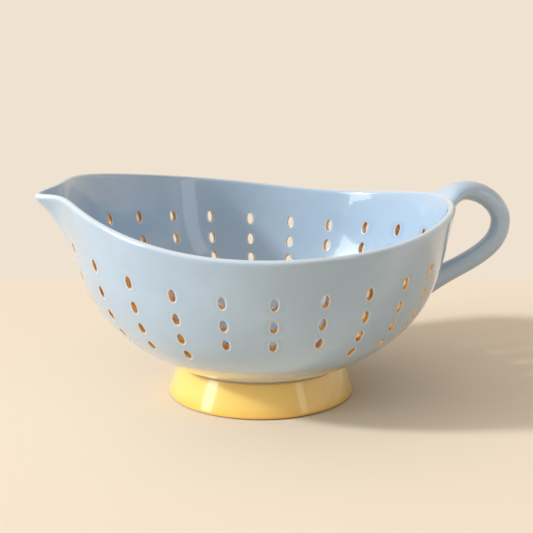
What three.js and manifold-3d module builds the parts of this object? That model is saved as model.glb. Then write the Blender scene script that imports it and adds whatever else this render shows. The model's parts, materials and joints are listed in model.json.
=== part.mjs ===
// Pedestal colander in glazed ceramic: a perforated bowl with a pulled spout, a loop handle and a flared foot.
// Millimetres, +Z up. The spout points to -X and the handle to +X. The foot stands on Z = 0.
import * as THREE from 'three';
import { mergeVertices } from 'three/addons/utils/BufferGeometryUtils.js';
import Module from 'manifold-3d';

// Bowl plan, as radii from the turning axis
const SIDE_RADIUS = 125;
const HANDLE_END_RADIUS = 129.8;
const SPOUT_END_RADIUS = 132.6;
const DIAGONAL_EASE = 1;

// Saddle rim, as heights above the table
const RIM_SIDE_HEIGHT = 119.9;
const RIM_END_RISE = 17.4;
const RIM_SPOUT_TILT = 7.7;
const RIM_QUARTER_DIP = 2.6;
const RIM_TWIST = THREE.MathUtils.degToRad(-14.8);

// Spout pulled out of the rim
const SPOUT_REACH = 16.8;
const SPOUT_HALF_WIDTH = 7;
const SPOUT_TIP_ROUND = 5.3;
const SPOUT_DEPTH = 55.6;
const SPOUT_SWEEP = 3;
const SPOUT_LIP_DROP = 3.3;

// Bowl wall and floor
const WALL = 5;
const FLOOR = 5;
const SEAT_RADIUS = 56;
const BELLY_ROUNDNESS = 4.37;
const WALL_FLARE = 0.29;
const FLOOR_FILLET_HEIGHT = 12;

// Drain holes: ovals in upright columns, with a short column at the middle of each side
const HOLE_WIDTH = 4.6;
const HOLE_LENGTH = 8.8;
const HOLE_COLUMNS = 24;
const HOLE_ROWS = 4;
const TOP_ROW_DROP = 29.7;
const ROW_PITCH = 17.3;
const ROW_CROWDING = 0.9;
const SHORT_COLUMN_ANGLE = THREE.MathUtils.degToRad(97.5);
const SHORT_COLUMN_SPREAD = THREE.MathUtils.degToRad(16);
const FLOOR_HOLE = 6;
const FLOOR_HOLE_CIRCLE = 26;
const FLOOR_HOLES = 8;
const PUNCH_OVERRUN = 5;

// Foot ring and the slip that lutes it to the bowl
const FOOT_HEIGHT = 22.6;
const FOOT_SET_BACK = 0.6;
const FOOT_FLARE = 7.6;
const FOOT_BASE_EDGE = 2;
const FOOT_WALL = 7;
const SLIP = 1;

// Loop handle, set out from the rim at the handle end
const HANDLE_THICKNESS = 13.4;
const HANDLE_WIDTH = 14;
const HANDLE_REACH = 38.5;
const HANDLE_MID_DROP = 18.5;
const HANDLE_CROWN = 19.2;
const HANDLE_CROWN_OUT = 5.7;
const HANDLE_SHOULDER = 16.2;
const HANDLE_HIP = 18.8;
const HANDLE_LOWER_DROP = 60.6;
const LOWER_LEAD_OUT = 37.2;
const LOWER_LEAD_UP = 15.3;
const UPPER_ROOT_SUNK = 11.3;
const UPPER_ROOT_DROP = 13.7;
const LOWER_ROOT_SUNK = 8.8;
const UPPER_ROOT_START = 12.4;
const UPPER_ROOT_LENGTH = 31;
const LOWER_ROOT_START = 9.3;
const LOWER_ROOT_LENGTH = 28;
const UPPER_ROOT_WIDTH = 44;
const UPPER_ROOT_THICKNESS = 10.4;
const LOWER_ROOT_WIDTH = 17;
const LOWER_ROOT_THICKNESS = 19.5;
const SLIP_BEAD = 1;
const GAP = 0.3;

// Facets
const BOWL_SIDES = 64;
const WALL_STEPS = 8;
const WALL_STEP_CROWDING = 1.4;
const SPOUT_CROWDING = 0.7;
const LIP_STEPS = 4;
const FILLET_STEPS = 3;
const HOLE_SIDES = 8;
const FOOT_SIDES = 48;
const FOOT_EDGE_STEPS = 4;
const HANDLE_STEPS = 30;
const HANDLE_SIDES = 14;
const MERGE_DISTANCE = 1e-4;
const SLOPE_STEP = 1e-3;

const wasm = await Module();
wasm.setup();

const blueGlaze = new THREE.MeshStandardMaterial({ color: '#a9c0d3', roughness: 0.18, metalness: 0 });
const yellowGlaze = new THREE.MeshStandardMaterial({ color: '#eecb74', roughness: 0.18, metalness: 0 });
const slipGlaze = new THREE.MeshStandardMaterial({ color: '#93a9ba', roughness: 0.3, metalness: 0 });

// Solids and meshes

function toSolid(geometry) {
  const bare = geometry.clone();
  bare.deleteAttribute('normal');
  bare.deleteAttribute('uv');
  const merged = mergeVertices(bare, MERGE_DISTANCE);
  return new wasm.Manifold(new wasm.Mesh({
    numProp: 3,
    vertProperties: new Float32Array(merged.attributes.position.array),
    triVerts: new Uint32Array(merged.index.array),
  }));
}

function toGeometry(solid) {
  const mesh = solid.getMesh();
  const geometry = new THREE.BufferGeometry();
  geometry.setAttribute('position', new THREE.BufferAttribute(mesh.vertProperties, 3));
  geometry.setIndex(new THREE.BufferAttribute(mesh.triVerts, 1));
  geometry.computeVertexNormals();
  return geometry;
}

// A closed body through a stack of rings, with a fan from the middle of the first and of the last ring
function ringBody(rings) {
  const sides = rings[0].length;
  const points = rings.flat();
  const middle = (ring) => ring.reduce((sum, p) => sum.add(p), new THREE.Vector3()).divideScalar(sides);
  const first = points.length;
  const last = first + 1;
  points.push(middle(rings[0]), middle(rings.at(-1)));
  const faces = [];
  for (let j = 0; j < sides; j++) {
    const k = (j + 1) % sides;
    for (let i = 0; i + 1 < rings.length; i++) {
      const a = i * sides;
      const b = a + sides;
      faces.push(a + j, a + k, b + k, a + j, b + k, b + j);
    }
    const top = (rings.length - 1) * sides;
    faces.push(first, k, j, last, top + j, top + k);
  }
  const geometry = new THREE.BufferGeometry();
  geometry.setAttribute('position', new THREE.Float32BufferAttribute(points.flatMap((p) => p.toArray()), 3));
  geometry.setIndex(faces);
  geometry.computeVertexNormals();
  return geometry;
}

// Bowl surface

function planRadius(theta) {
  const endMean = (HANDLE_END_RADIUS + SPOUT_END_RADIUS) / 2;
  const oval = (endMean - SIDE_RADIUS) / 2;
  const round = endMean - oval - DIAGONAL_EASE;
  const shift = (HANDLE_END_RADIUS - SPOUT_END_RADIUS) / 2;
  return round + shift * Math.cos(theta) + oval * Math.cos(2 * theta) + DIAGONAL_EASE * Math.cos(4 * theta);
}

// One at the spout's tip, fading to nothing round the rim
function spoutPull(theta) {
  const arc = Math.abs(Math.PI - Math.abs(theta)) * SPOUT_END_RADIUS;
  return Math.exp((SPOUT_TIP_ROUND - Math.hypot(arc, SPOUT_TIP_ROUND)) / SPOUT_HALF_WIDTH);
}

function rimHeight(theta) {
  return RIM_SIDE_HEIGHT
    - RIM_SPOUT_TILT * Math.cos(theta)
    + RIM_END_RISE * Math.cos(theta - RIM_TWIST) ** 2
    - RIM_QUARTER_DIP * Math.sin(2 * theta) ** 2
    - SPOUT_LIP_DROP * spoutPull(theta);
}

// Outer skin: up is 0 at the seat on the foot and 1 at the rim
function skinPoint(theta, up) {
  const rise = rimHeight(theta) - FOOT_HEIGHT;
  const sweep = (1 - WALL_FLARE) * (1 - (1 - up) ** BELLY_ROUNDNESS) + WALL_FLARE * up;
  const pull = Math.max(0, 1 - (1 - up) * rise / SPOUT_DEPTH) ** SPOUT_SWEEP;
  const r = SEAT_RADIUS + (planRadius(theta) - SEAT_RADIUS) * sweep + SPOUT_REACH * spoutPull(theta) * pull;
  return new THREE.Vector2(r, FOOT_HEIGHT + rise * up);
}

// Outward normal of the skin within its upright section
function skinNormal(theta, up) {
  const above = skinPoint(theta, Math.min(1, up + SLOPE_STEP));
  const along = above.sub(skinPoint(theta, Math.max(0, up - SLOPE_STEP)));
  return new THREE.Vector2(along.y, -along.x).normalize();
}

function around(theta, p) {
  return new THREE.Vector3(p.x * Math.cos(theta), p.x * Math.sin(theta), p.y);
}

function lipStart(theta) {
  return 1 - WALL / 2 / (rimHeight(theta) - FOOT_HEIGHT);
}

function lipCentre(theta) {
  const start = lipStart(theta);
  return skinPoint(theta, start).addScaledVector(skinNormal(theta, start), -WALL / 2);
}

// Half section from the seat up the outside to the lip's crest, or right over the lip, moved out by an offset
function outerSection(theta, offset, overLip) {
  const section = [];
  const start = lipStart(theta);
  for (let i = 0; i <= WALL_STEPS; i++) {
    const up = start * (i / WALL_STEPS) ** WALL_STEP_CROWDING;
    section.push(skinPoint(theta, up).addScaledVector(skinNormal(theta, up), offset));
  }
  const normal = skinNormal(theta, start);
  const centre = lipCentre(theta);
  const lean = Math.atan2(normal.y, normal.x);
  const turn = overLip ? Math.PI : Math.PI / 2 - lean;
  for (let i = 1; i <= LIP_STEPS; i++) {
    const angle = lean + turn * i / LIP_STEPS;
    const out = new THREE.Vector2(Math.cos(angle), Math.sin(angle));
    section.push(centre.clone().addScaledVector(out, WALL / 2 + offset));
  }
  return section;
}

// Half section from the lip down the inside to the floor
function innerSection(theta) {
  const section = [];
  const start = lipStart(theta);
  const end = FLOOR_FILLET_HEIGHT / (rimHeight(theta) - FOOT_HEIGHT);
  const inside = (up) => skinPoint(theta, up).addScaledVector(skinNormal(theta, up), -WALL);
  for (let i = 1; i < WALL_STEPS; i++) {
    section.push(inside(end + (start - end) * (1 - i / (WALL_STEPS - 1)) ** WALL_STEP_CROWDING));
  }
  const foot = section.at(-1);
  const normal = skinNormal(theta, end);
  const floorHeight = FOOT_HEIGHT + FLOOR;
  const run = (foot.y - floorHeight) * -normal.y / normal.x;
  const corner = new THREE.Vector2(foot.x - run, floorHeight);
  const fillet = new THREE.QuadraticBezierCurve(foot, corner, new THREE.Vector2(corner.x - run, floorHeight));
  for (let i = 1; i <= FILLET_STEPS; i++) {
    section.push(fillet.getPoint(i / FILLET_STEPS));
  }
  return section;
}

// Angles round the bowl, close together at the spout and wide apart at the handle
function bowlAngles() {
  const angles = [];
  for (let j = 0; j < BOWL_SIDES; j++) {
    const even = 2 * Math.PI * j / BOWL_SIDES;
    angles.push(even + SPOUT_CROWDING * Math.sin(even));
  }
  return angles.map((angle) => (angle > Math.PI ? angle - 2 * Math.PI : angle));
}

function sectionRings(section) {
  const angles = bowlAngles();
  const columns = angles.map((theta) => section(theta).map((p) => around(theta, p)));
  return columns[0].map((_, i) => columns.map((column) => column[i]));
}

// The bowl's outside grown by an offset, filled and carried up above the crest, for fitting the handle to it
function bowlForm(offset) {
  const section = (theta) => {
    const crest = lipCentre(theta);
    crest.y += HANDLE_CROWN + HANDLE_THICKNESS;
    return [...outerSection(theta, offset, false), crest];
  };
  return toSolid(ringBody(sectionRings(section)));
}

// Drain holes

function isShortColumn(theta) {
  return Math.abs(Math.abs(theta) - SHORT_COLUMN_ANGLE) < SHORT_COLUMN_SPREAD;
}

// An oval punch square to the wall, its length along the wall's upright line
function wallPunch(theta, up) {
  const here = around(theta, skinPoint(theta, up));
  const upright = around(theta, skinPoint(theta, up + SLOPE_STEP)).sub(here).normalize();
  const beside = theta + SLOPE_STEP;
  const sideways = around(beside, skinPoint(beside, up)).sub(here).normalize();
  const out = new THREE.Vector3().crossVectors(sideways, upright).normalize();
  const across = new THREE.Vector3().crossVectors(upright, out);
  const punch = new THREE.CylinderGeometry(1, 1, 2 * (WALL + PUNCH_OVERRUN), HOLE_SIDES);
  punch.scale(HOLE_LENGTH / 2, 1, HOLE_WIDTH / 2);
  punch.applyMatrix4(new THREE.Matrix4().makeBasis(upright, out, across).setPosition(here));
  return toSolid(punch);
}

function floorPunch(x, y) {
  const length = FLOOR + 2 * PUNCH_OVERRUN;
  const punch = new THREE.CylinderGeometry(FLOOR_HOLE / 2, FLOOR_HOLE / 2, length, HOLE_SIDES);
  punch.rotateX(Math.PI / 2);
  punch.translate(x, y, FOOT_HEIGHT + FLOOR / 2);
  return toSolid(punch);
}

// Drop of a row below the rim: the rows crowd a little as the wall turns in below
function rowDrop(row) {
  return TOP_ROW_DROP + row * (ROW_PITCH - row * ROW_CROWDING);
}

function drainPunches() {
  const punches = [];
  const meanRise = RIM_SIDE_HEIGHT + RIM_END_RISE / 2 - FOOT_HEIGHT;
  for (let column = 0; column < HOLE_COLUMNS; column++) {
    const theta = (column + 0.5) * 2 * Math.PI / HOLE_COLUMNS - Math.PI;
    const rows = isShortColumn(theta) ? HOLE_ROWS - 1 : HOLE_ROWS;
    for (let row = 0; row < rows; row++) {
      punches.push(wallPunch(theta, 1 - rowDrop(row) / meanRise));
    }
  }
  punches.push(floorPunch(0, 0));
  for (let i = 0; i < FLOOR_HOLES; i++) {
    const theta = 2 * Math.PI * i / FLOOR_HOLES;
    punches.push(floorPunch(FLOOR_HOLE_CIRCLE * Math.cos(theta), FLOOR_HOLE_CIRCLE * Math.sin(theta)));
  }
  return punches;
}

function bowl() {
  const shell = ringBody(sectionRings((theta) => [...outerSection(theta, 0, true), ...innerSection(theta)]));
  let solid = toSolid(shell);
  for (const punch of drainPunches()) {
    solid = solid.subtract(punch);
  }
  return toGeometry(solid);
}

// Foot

function turned(profile) {
  const geometry = new THREE.LatheGeometry([...profile, profile[0]], FOOT_SIDES);
  geometry.rotateX(Math.PI / 2);
  return geometry;
}

const footTopRadius = SEAT_RADIUS - FOOT_SET_BACK;
const footBaseRadius = footTopRadius + FOOT_FLARE;
const footTop = FOOT_HEIGHT - SLIP;

function footRing() {
  const lean = Math.atan2(FOOT_FLARE, footTop);
  const edge = new THREE.EllipseCurve(
    footBaseRadius - FOOT_BASE_EDGE, FOOT_BASE_EDGE, FOOT_BASE_EDGE, FOOT_BASE_EDGE, -Math.PI / 2, lean,
  );
  return turned([
    new THREE.Vector2(footBaseRadius - FOOT_WALL, 0),
    ...edge.getPoints(FOOT_EDGE_STEPS),
    new THREE.Vector2(footTopRadius, footTop),
    new THREE.Vector2(footTopRadius - FOOT_WALL, footTop),
  ]);
}

// A thin ring of slip, swelling from the foot's edge out to the edge of the bowl's seat
function footSlip() {
  const inner = footTopRadius - FOOT_WALL;
  return turned([
    new THREE.Vector2(inner, footTop),
    new THREE.Vector2(footTopRadius, footTop),
    new THREE.Vector2(SEAT_RADIUS, footTop + SLIP / 2),
    new THREE.Vector2(SEAT_RADIUS, FOOT_HEIGHT),
    new THREE.Vector2(inner, FOOT_HEIGHT),
  ]);
}

// Handle

// The height on the wall, as a share of the rise from seat to rim, below the rim at the handle end
function upBelowRim(drop) {
  return 1 - drop / (rimHeight(0) - FOOT_HEIGHT);
}

// Up and over from the rim to the outermost point, then down and back to the wall
function handlePath() {
  const rim = rimHeight(0);
  const lower = skinPoint(0, upBelowRim(HANDLE_LOWER_DROP));
  const outX = HANDLE_END_RADIUS + HANDLE_REACH;
  const midZ = rim - HANDLE_MID_DROP;
  const at = (x, z) => new THREE.Vector3(x, 0, z);
  const path = new THREE.CurvePath();
  path.add(new THREE.CubicBezierCurve3(
    at(HANDLE_END_RADIUS - UPPER_ROOT_SUNK, rim - UPPER_ROOT_DROP),
    at(HANDLE_END_RADIUS + HANDLE_CROWN_OUT, rim + HANDLE_CROWN),
    at(outX, midZ + HANDLE_SHOULDER),
    at(outX, midZ),
  ));
  path.add(new THREE.CubicBezierCurve3(
    at(outX, midZ),
    at(outX, midZ - HANDLE_HIP),
    at(lower.x + LOWER_LEAD_OUT, lower.y + LOWER_LEAD_UP),
    at(lower.x - LOWER_ROOT_SUNK, lower.y - LOWER_ROOT_SUNK * LOWER_LEAD_UP / LOWER_LEAD_OUT),
  ));
  return path;
}

// Half sizes of the handle's oval section, by the way along it to its two ends: it spreads at both roots
function handleSection(toUpperEnd, toLowerEnd) {
  const spread = (distance, length) => THREE.MathUtils.clamp(1 - distance / length, 0, 1) ** 2;
  const upper = spread(toUpperEnd - UPPER_ROOT_START, UPPER_ROOT_LENGTH);
  const lower = spread(toLowerEnd - LOWER_ROOT_START, LOWER_ROOT_LENGTH);
  const mix = (middle, upperRoot, lowerRoot) => (
    middle + (upperRoot - middle) * upper + (lowerRoot - middle) * lower
  ) / 2;
  return {
    thick: mix(HANDLE_THICKNESS, UPPER_ROOT_THICKNESS, LOWER_ROOT_THICKNESS),
    wide: mix(HANDLE_WIDTH, UPPER_ROOT_WIDTH, LOWER_ROOT_WIDTH),
  };
}

// The handle between two distances along its path, with its section grown all round
function handleSweep(path, from, to, grow) {
  const length = path.getLength();
  const rings = [];
  const steps = Math.ceil(HANDLE_STEPS * (to - from) / length);
  for (let i = 0; i <= steps; i++) {
    const distance = from + (to - from) * i / steps;
    const centre = path.getPointAt(distance / length);
    const along = path.getTangentAt(distance / length);
    const up = new THREE.Vector3(-along.z, 0, along.x);
    const { thick, wide } = handleSection(distance, length - distance);
    const ring = [];
    for (let j = 0; j < HANDLE_SIDES; j++) {
      const turn = 2 * Math.PI * j / HANDLE_SIDES;
      ring.push(centre.clone()
        .addScaledVector(up, (thick + grow) * Math.sin(turn))
        .add(new THREE.Vector3(0, (wide + grow) * Math.cos(turn), 0)));
    }
    rings.push(ring);
  }
  return toSolid(ringBody(rings));
}

function handle() {
  const path = handlePath();
  return toGeometry(handleSweep(path, 0, path.getLength(), 0).subtract(bowlForm(SLIP + 2 * GAP)));
}

// The luting slip between the wall and a root of the handle, a thin pad with a bead standing out round the root
function handleSlip(path, from, to) {
  const layer = bowlForm(SLIP + GAP).subtract(bowlForm(GAP));
  return toGeometry(handleSweep(path, from, to, SLIP_BEAD).intersect(layer));
}

function upperHandleSlip() {
  return handleSlip(handlePath(), 0, UPPER_ROOT_START + UPPER_ROOT_LENGTH);
}

function lowerHandleSlip() {
  const path = handlePath();
  const length = path.getLength();
  return handleSlip(path, length - LOWER_ROOT_START - LOWER_ROOT_LENGTH, length);
}

// Assembly, with the middle of the whole length over the origin

const colander = new THREE.Group();
const spoutEnd = skinPoint(Math.PI, lipStart(Math.PI)).x;
const handleEnd = HANDLE_END_RADIUS + HANDLE_REACH + HANDLE_THICKNESS / 2;
colander.position.x = (spoutEnd - handleEnd) / 2;

function addPiece(name, geometry, material) {
  const mesh = new THREE.Mesh(geometry, material);
  mesh.name = name;
  colander.add(mesh);
}

addPiece('bowl', bowl(), blueGlaze);
addPiece('foot_ring', footRing(), yellowGlaze);
addPiece('foot_slip_joint', footSlip(), slipGlaze);
addPiece('handle', handle(), blueGlaze);
addPiece('handle_upper_slip_joint', upperHandleSlip(), slipGlaze);
addPiece('handle_lower_slip_joint', lowerHandleSlip(), slipGlaze);

export default colander;
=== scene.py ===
"""Pedestal colander: a glazed, perforated bowl with a spout, a loop handle and a ring foot."""
import json
import math

import bpy
import numpy as np
from mathutils import Color, Matrix, Vector

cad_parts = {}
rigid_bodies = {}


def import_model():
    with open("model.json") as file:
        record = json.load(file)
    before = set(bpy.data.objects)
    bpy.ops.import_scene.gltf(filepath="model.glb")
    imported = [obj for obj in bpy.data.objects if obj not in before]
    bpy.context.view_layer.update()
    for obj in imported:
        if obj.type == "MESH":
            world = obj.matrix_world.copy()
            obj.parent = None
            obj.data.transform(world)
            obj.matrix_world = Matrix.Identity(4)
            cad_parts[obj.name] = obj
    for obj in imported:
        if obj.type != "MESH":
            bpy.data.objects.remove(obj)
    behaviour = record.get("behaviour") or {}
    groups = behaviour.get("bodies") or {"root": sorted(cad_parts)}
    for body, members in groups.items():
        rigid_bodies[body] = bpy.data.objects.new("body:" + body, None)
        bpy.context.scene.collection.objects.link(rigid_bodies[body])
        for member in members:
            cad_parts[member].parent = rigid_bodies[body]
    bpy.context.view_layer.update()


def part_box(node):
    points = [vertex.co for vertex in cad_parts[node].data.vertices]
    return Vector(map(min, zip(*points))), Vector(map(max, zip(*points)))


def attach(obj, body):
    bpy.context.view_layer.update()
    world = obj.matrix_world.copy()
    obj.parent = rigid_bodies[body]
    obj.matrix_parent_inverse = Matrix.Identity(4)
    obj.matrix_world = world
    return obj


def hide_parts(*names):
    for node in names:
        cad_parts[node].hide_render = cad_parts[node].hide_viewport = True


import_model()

bl_info = {
    "name": "Pedestal Colander",
    "version": (1, 0, 0),
    "blender": (4, 5, 0),
    "location": "View3D > Sidebar > Colander",
    "description": "Makes a glazed ceramic colander with a spout, a loop handle and a ring foot",
    "category": "Add Mesh",
}

BODY = "root"
FOOT_LOW, FOOT_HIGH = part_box("foot_ring")
AXIS_X = (FOOT_LOW.x + FOOT_HIGH.x) / 2
SEAT_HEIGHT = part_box("bowl")[0].z


# Settings

CHANNEL_MAX = 255


def length(name, description, default):
    return bpy.props.FloatProperty(
        name=name, description=description, default=default, subtype="DISTANCE", unit="LENGTH", precision=4)


def turn(name, description, degrees):
    return bpy.props.FloatProperty(
        name=name, description=description, default=math.radians(degrees), subtype="ANGLE", unit="ROTATION")


def factor(name, description, default):
    return bpy.props.FloatProperty(name=name, description=description, default=default, precision=3)


def count(name, description, default):
    return bpy.props.IntProperty(name=name, description=description, default=default, min=1)


def colour(name, description, hex_code):
    screen = Color([channel / CHANNEL_MAX for channel in bytes.fromhex(hex_code.lstrip("#"))])
    return bpy.props.FloatVectorProperty(
        name=name, description=description, default=screen.from_srgb_to_scene_linear(),
        subtype="COLOR", size=3, min=0, max=1)


class BowlSizes(bpy.types.PropertyGroup):
    """Sizes of the bowl's skin, rim and spout"""
    side_radius: length("Side radius", "Plan radius at the middle of each side", 0.1249)
    handle_end_radius: length("Handle end radius", "Plan radius at the handle", 0.1298)
    spout_end_radius: length("Spout end radius", "Plan radius at the spout, without its beak", 0.1326)
    diagonal_ease: length("Diagonal ease", "How far the plan is drawn in on the diagonals", 0.001)
    rim_side_height: length("Rim side height", "Height of the rim at the middle of each side", 0.1198)
    rim_end_rise: length("Rim end rise", "Extra height of the rim at its two high ends", 0.0174)
    rim_spout_tilt: length("Rim spout tilt", "How far the rim tips up towards the spout", 0.0077)
    rim_quarter_dip: length("Rim quarter dip", "How far the rim dips between ends and sides", 0.0026)
    rim_twist: turn("Rim twist", "Turn of the high ends from the line through spout and handle", -14.8)
    spout_reach: length("Spout reach", "How far the beak is pulled out", 0.0168)
    spout_half_width: length("Spout half width", "Distance in which the beak fades into the rim", 0.007)
    spout_tip_round: length("Spout tip round", "Rounding of the beak's tip", 0.0053)
    spout_depth: length("Spout depth", "How far down the wall the beak reaches", 0.0556)
    spout_sweep: factor("Spout sweep", "How hollow the beak's underside is swept", 3)
    spout_lip_drop: length("Spout lip drop", "How far the beak's lip dips", 0.0033)
    wall: length("Wall", "Thickness of the wall and its lip", 0.005)
    floor: length("Floor", "Thickness of the floor", 0.005)
    floor_fillet: length("Floor fillet", "Height at which the inside starts to round into the floor", 0.012)
    seat_radius: length("Seat radius", "Radius of the flat seat on the foot", 0.056)
    seat_height: length("Seat height", "Height of the flat seat on the foot", SEAT_HEIGHT)
    belly_roundness: factor("Belly roundness", "How quickly the wall swells out above the seat", 4.37)
    wall_flare: factor("Wall flare", "Share of the swell that goes on steadily up to the rim", 0.29)


class HoleSizes(bpy.types.PropertyGroup):
    """Sizes of the drain holes"""
    columns: count("Columns", "Upright columns of holes round the bowl", 24)
    rows: count("Rows", "Holes in a full column", 4)
    width: length("Hole width", "Width of an oval hole at its throat", 0.0041)
    tall: length("Hole length", "Length of an oval hole at its throat", 0.0082)
    edge_round: length("Edge round", "Rounding of a hole's edge under the glaze", 0.0007)
    top_row_drop: length("Top row drop", "Drop of the top row below a rim of mean height", 0.0297)
    row_pitch: length("Row pitch", "Drop from one row to the next, before they crowd", 0.0173)
    row_crowding: length("Row crowding", "How much closer the rows lie with each row down", 0.0009)
    short_angle: turn("Short column angle", "Angle of the middle short column on each side", 97.5)
    short_spread: turn("Short column spread", "Half width of the stretch with short columns", 16)
    floor_hole: length("Floor hole", "Diameter of a hole in the floor", 0.006)
    floor_circle: length("Floor hole circle", "Radius of the circle of holes in the floor", 0.026)
    floor_count: count("Floor holes", "Holes on the circle in the floor", 8)


class HandleSizes(bpy.types.PropertyGroup):
    """Sizes of the loop handle"""
    thickness: length("Thickness", "Thickness of the handle in the loop's plane", 0.0134)
    width: length("Width", "Width of the handle across the loop", 0.014)
    reach: length("Reach", "Distance of the handle's middle line from the rim", 0.0382)
    mid_drop: length("Middle drop", "Drop of the outermost point below the rim", 0.0185)
    crown: length("Crown", "Rise of the upper curve's pull above the rim", 0.0192)
    crown_out: length("Crown out", "Distance of the upper curve's pull from the rim", 0.0057)
    shoulder: length("Shoulder", "Length of the upper curve's pull at the outermost point", 0.0162)
    hip: length("Hip", "Length of the lower curve's pull at the outermost point", 0.0188)
    lower_drop: length("Lower drop", "Drop of the lower root below the rim", 0.0606)
    lead_out: length("Lead out", "Distance of the lower curve's pull from the wall", 0.0372)
    lead_up: length("Lead up", "Rise of the lower curve's pull above the root", 0.0153)
    upper_sunk: length("Upper sunk", "How far the middle line runs into the rim", 0.0113)
    upper_drop: length("Upper drop", "Drop of the middle line's start below the rim", 0.0137)
    lower_sunk: length("Lower sunk", "How far the middle line runs into the wall", 0.0088)
    upper_start: length("Upper spread start", "Way along the handle before its upper spread eases", 0.0124)
    upper_length: length("Upper spread length", "Way along the handle of its upper spread", 0.031)
    lower_start: length("Lower spread start", "Way along the handle before its lower spread eases", 0.0093)
    lower_length: length("Lower spread length", "Way along the handle of its lower spread", 0.028)
    upper_width: length("Upper root width", "Width of the handle at the rim", 0.044)
    upper_thickness: length("Upper root thickness", "Thickness of the handle at the rim", 0.0104)
    lower_width: length("Lower root width", "Width of the handle at the wall", 0.017)
    lower_thickness: length("Lower root thickness", "Thickness of the handle at the wall", 0.0195)
    upper_ease: length("Upper ease", "Way in which the upper root bends to the rim", 0.007)
    lower_ease: length("Lower ease", "Way in which the lower root bends to the wall", 0.003)
    slip_bead: length("Slip bead", "Width of the fillet of slip round a root", 0.0016)


class FootSizes(bpy.types.PropertyGroup):
    """Sizes of the foot and its slip joint"""
    set_back: length("Set back", "How far the foot's top stands inside the bowl's seat", 0.0006)
    flare: length("Flare", "How far the foot widens from top to base", 0.0076)
    base_edge: length("Base edge", "Rounding of the outer bottom edge", 0.002)
    top_edge: length("Top edge", "Rounding of the outer top edge", 0.0008)
    inner_edge: length("Inner edge", "Rounding of the inner bottom edge", 0.0012)
    wall: length("Foot wall", "Thickness of the foot", 0.007)
    slip: length("Slip", "Height of the slip joint under the bowl's seat", 0.001)
    sides: count("Foot sides", "Facets round the foot", 160)


class GlazeColours(bpy.types.PropertyGroup):
    """Colours and gloss of the glazes"""
    blue: colour("Blue", "Blue glaze where it lies evenly", "#b4cbe1")
    blue_deep: colour("Deep blue", "Blue glaze where it lies thick", "#a5bed4")
    # Near-white edge colour: partly glaze breaking thin over edges, partly a painted highlight on the lip
    # and hole rims
    pale: colour("Pale edge", "Blue glaze where it breaks thin over an edge", "#e4eef5")
    # Ochre in the hole walls: bare clay, whose warmth also paints warm light reflected into the holes
    ochre: colour("Ochre", "Warm clay inside the drain holes", "#f0c07a")
    umber: colour("Umber", "Darker clouds in the clay inside the drain holes", "#b57d33")
    yellow: colour("Yellow", "Yellow glaze where it lies evenly", "#fdd570")
    honey: colour("Honey", "Yellow glaze where it lies thick", "#f5bf48")
    # Dark clay for the bare ring under the foot, dark enough to paint the contact shadow there too
    clay: colour("Clay", "Bare clay under the foot", "#7a5632")
    slip: colour("Slip", "Glazed slip in the joint of bowl and foot", "#c2ab7e")
    roughness: factor("Roughness", "Roughness of the glaze", 0.2)
    coat: factor("Glass coat", "Share of the glaze's clear glass surface", 1.0)
    coat_roughness: factor("Coat roughness", "Roughness of the clear glass surface", 0.03)


class StageSettings(bpy.types.PropertyGroup):
    """Camera, floor and light"""
    distance: length("Camera distance", "Distance of the camera from what it looks at", 0.97996)
    elevation: turn("Camera elevation", "Height of the camera as an angle", 14.68)
    azimuth: turn("Camera azimuth", "Turn of the colander as the camera sees it", 11.63)
    aim_right: length("Aim right", "Distance of the aim to the right of the foot's axis", 0.00388)
    aim_height: length("Aim height", "Height of the aim above the table", 0.08596)
    lens: factor("Lens", "Focal length in millimetres on a 36 mm sensor", 98.91)
    paper: colour("Paper", "Plain pale floor", "#f2e3cf")
    wall: colour("Wall", "Plain pale background behind the floor", "#f0e2d0")
    floor_end: length("Floor end", "Distance at which the floor ends behind the foot's axis", 0.282)
    fill: colour("Fill light", "Soft light from all round", "#fff5ea")
    fill_low: factor("Low fill", "Strength of the soft light on the dim side of the room", 0.1)
    fill_high: factor("High fill", "Strength of the soft light on the bright side of the room", 0.8)
    key: colour("Key light", "Colour of the light from the left", "#fafdff")
    key_strength: factor("Key strength", "Strength of the light from the left", 2.1)
    key_side: turn("Key side", "Turn of the key light from the left towards the camera", 14)
    key_height: turn("Key height", "Height of the key light as an angle", 30)
    key_spread: turn("Key spread", "Width of the key light as an angle", 6)
    window_power: factor("Window power", "Power of the tall soft window at the left, in watts", 18)
    card_power: factor("Card power", "Power of the dim soft card at the front right, in watts", 2)
    screen_power: factor("Screen power", "Power of the wide soft screen at the right, in watts", 1.8)


class ColanderSettings(bpy.types.PropertyGroup):
    """All settings of the colander"""
    bowl: bpy.props.PointerProperty(type=BowlSizes)
    holes: bpy.props.PointerProperty(type=HoleSizes)
    handle: bpy.props.PointerProperty(type=HandleSizes)
    foot: bpy.props.PointerProperty(type=FootSizes)
    glaze: bpy.props.PointerProperty(type=GlazeColours)
    stage: bpy.props.PointerProperty(type=StageSettings)


# Numbers that work as plain values and as fields of a node tree

class Field:
    """A number inside a node tree, so that one formula serves the nodes and the script"""

    def __init__(self, tree, socket):
        self.tree = tree
        self.socket = socket

    def __add__(self, other):
        return node_math("ADD", self, other)

    def __radd__(self, other):
        return node_math("ADD", other, self)

    def __sub__(self, other):
        return node_math("SUBTRACT", self, other)

    def __rsub__(self, other):
        return node_math("SUBTRACT", other, self)

    def __mul__(self, other):
        return node_math("MULTIPLY", self, other)

    def __rmul__(self, other):
        return node_math("MULTIPLY", other, self)

    def __truediv__(self, other):
        return node_math("DIVIDE", self, other)

    def __rtruediv__(self, other):
        return node_math("DIVIDE", other, self)

    def __pow__(self, other):
        return node_math("POWER", self, other)

    def __neg__(self):
        return node_math("MULTIPLY", self, -1.0)


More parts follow.
